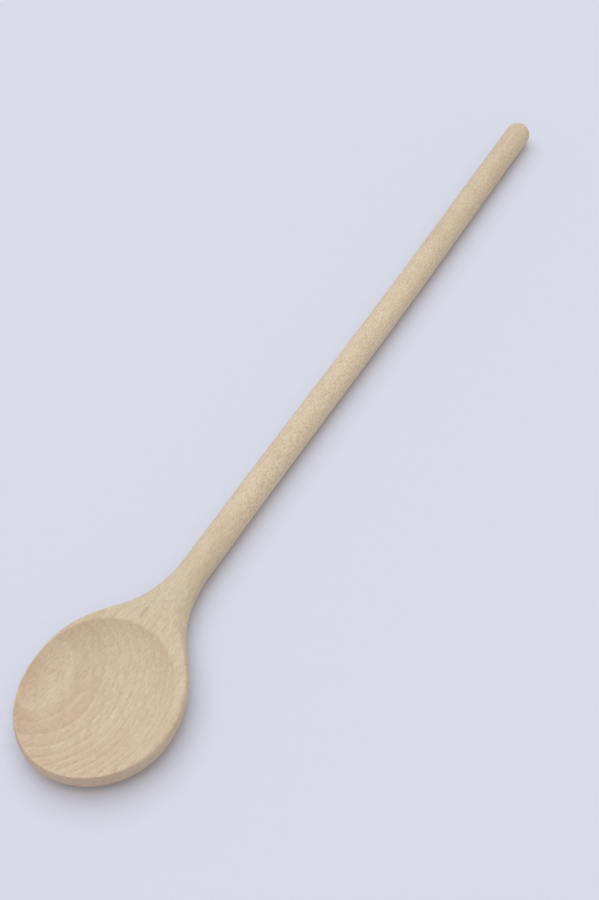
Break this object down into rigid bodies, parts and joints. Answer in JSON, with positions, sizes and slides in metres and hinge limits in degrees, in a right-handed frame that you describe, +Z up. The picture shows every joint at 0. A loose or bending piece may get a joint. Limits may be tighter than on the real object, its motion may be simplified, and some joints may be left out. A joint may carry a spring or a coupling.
{
  "type": "wooden spoon",
  "caption": "Round-headed wooden cooking spoon with a shallow dish milled into a planed flat top and a straight round handle.",
  "frame": {"origin": "middle of the spoon's length and width, at the level of the table that it lies on", "axes": "+X along the handle, from the head towards the handle's end; +Z up, out of the dish; +Y across the head"},
  "size_m": [0.4, 0.06, 0.0121],
  "materials": {
    "beech": "sanded and left bare, pale and matte"
  },
  "bodies": {
    "root": {"spoon": "beech"}
  },
  "joints": []
}
